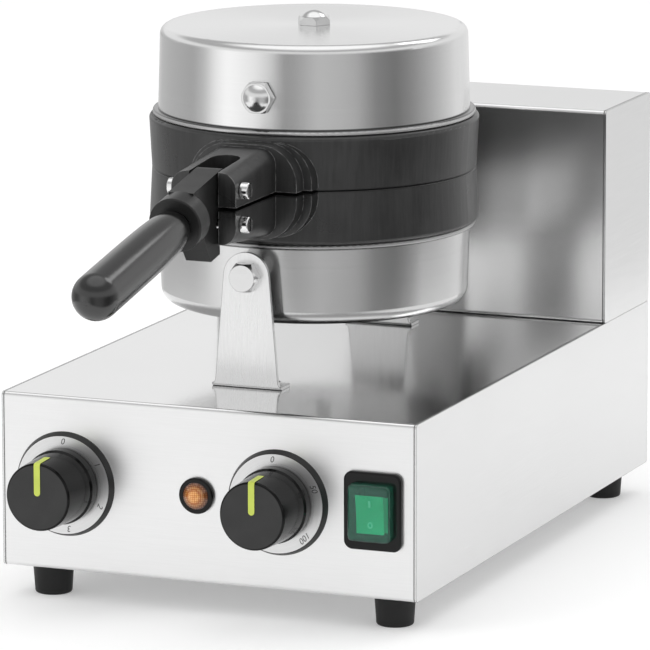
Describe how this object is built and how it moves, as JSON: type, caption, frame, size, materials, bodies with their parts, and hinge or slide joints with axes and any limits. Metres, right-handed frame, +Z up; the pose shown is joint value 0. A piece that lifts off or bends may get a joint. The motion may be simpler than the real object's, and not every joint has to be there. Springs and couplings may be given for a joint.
{
  "type": "round hot bun press",
  "caption": "Countertop press that seals and toasts a filled round bun between two heated dishes, with a hinged lid and a latch handle.",
  "frame": {"origin": "middle of the whole object's footprint, on the surface the feet stand on", "axes": "+Z up, -Y the way the control panel and the handle face, +X to the right seen from the front"},
  "size_m": [0.25, 0.5674, 0.3204],
  "materials": {
    "case_steel": "satin stainless sheet",
    "plain_sheet": "plain zinc-coated sheet",
    "shell_steel": "satin spun stainless",
    "cast_plate": "dark non-stick coated casting, turned rim",
    "bracket_steel": "satin sheet",
    "fastener_steel": "bright stainless fastener",
    "pin_steel": "bright plated pin",
    "black_metal": "satin black cast block",
    "grip_plastic": "satin black moulding",
    "knob_plastic": "fine matte black moulding",
    "dial_metal": "printed satin ring",
    "lamp_amber": "translucent amber",
    "inner_plastic": "moulded",
    "panel_black": "glossy black moulding",
    "cover_clear": "translucent soft cover",
    "rocker_green": "green moulding",
    "soft_rubber": "matte black rubber",
    "heater_sheath": "tubular element sheath",
    "bulb_metal": "drawn copper-alloy bulb",
    "terminal_white": "moulded terminal block"
  },
  "bodies": {
    "base": {"case_wrap": "case_steel", "side_panel_left": "case_steel", "side_panel_right": "case_steel", "bottom_plate": "plain_sheet", "feet": "soft_rubber", "foot_screws": "fastener_steel", "panel_screws": "fastener_steel", "box_side_left": "case_steel", "box_side_right": "case_steel", "box_wrap": "case_steel", "cable_gland": "inner_plastic", "terminal_block": "terminal_white", "lower_shell": "shell_steel", "lower_plate": "cast_plate", "lower_heater": "heater_sheath", "lower_clamp": "plain_sheet", "lower_stud": "fastener_steel", "thermostat_bulb": "bulb_metal", "bulb_clip": "plain_sheet", "front_bracket": "bracket_steel", "rear_bracket": "bracket_steel", "bracket_bolts": "fastener_steel", "bracket_spacers": "fastener_steel", "hex_nuts": "fastener_steel", "wire_bushings": "soft_rubber", "hinge_pin": "pin_steel", "hinge_clips": "pin_steel", "catch_pin": "pin_steel", "catch_pin_screws": "pin_steel", "timer_body": "plain_sheet", "thermostat_body": "plain_sheet", "knob_bezels": "knob_plastic", "dial_rings": "dial_metal", "control_nuts": "fastener_steel", "lamp_bezel": "panel_black", "lamp_lens": "lamp_amber", "lamp_body": "inner_plastic", "switch_frame": "panel_black", "switch_cover": "cover_clear", "switch_body": "inner_plastic"},
    "lid": {"lid_shell": "shell_steel", "upper_plate": "cast_plate", "upper_heater": "heater_sheath", "upper_clamp": "plain_sheet", "upper_stud": "fastener_steel", "cap_nuts": "fastener_steel", "lid_front_bolt": "fastener_steel", "lid_bushing": "soft_rubber", "pivot_pin": "pin_steel", "pivot_pin_screws": "pin_steel"},
    "handle": {"latch_block": "black_metal", "grip": "grip_plastic", "grip_stud": "fastener_steel", "pivot_washers": "black_metal"},
    "timer_dial": {"timer_knob": "knob_plastic", "timer_shaft": "fastener_steel"},
    "thermostat_dial": {"thermostat_knob": "knob_plastic", "thermostat_shaft": "fastener_steel"},
    "rocker": {"rocker": "rocker_green"}
  },
  "joints": [
    {"name": "lid_hinge", "type": "hinge", "parent": "base", "child": "lid", "pos_m": [0, 0.15061, 0.2306], "axis": [-1, 0, 0], "range_deg": [0, 95]},
    {"name": "handle_pivot", "type": "hinge", "parent": "lid", "child": "handle", "pos_m": [0, -0.11759, 0.241], "axis": [-1, 0, 0], "range_deg": [-12, 80]},
    {"name": "timer_turn", "type": "hinge", "parent": "base", "child": "timer_dial", "pos_m": [-0.0859, -0.12439, 0.0685], "axis": [0, 1, 0], "range_deg": [0, 285]},
    {"name": "thermostat_turn", "type": "hinge", "parent": "base", "child": "thermostat_dial", "pos_m": [0.043, -0.12439, 0.0685], "axis": [0, 1, 0], "range_deg": [0, 285]},
    {"name": "rocker_tilt", "type": "hinge", "parent": "base", "child": "rocker", "pos_m": [0.1, -0.12199, 0.0685], "axis": [-1, 0, 0], "range_deg": [0, 12]}
  ]
}
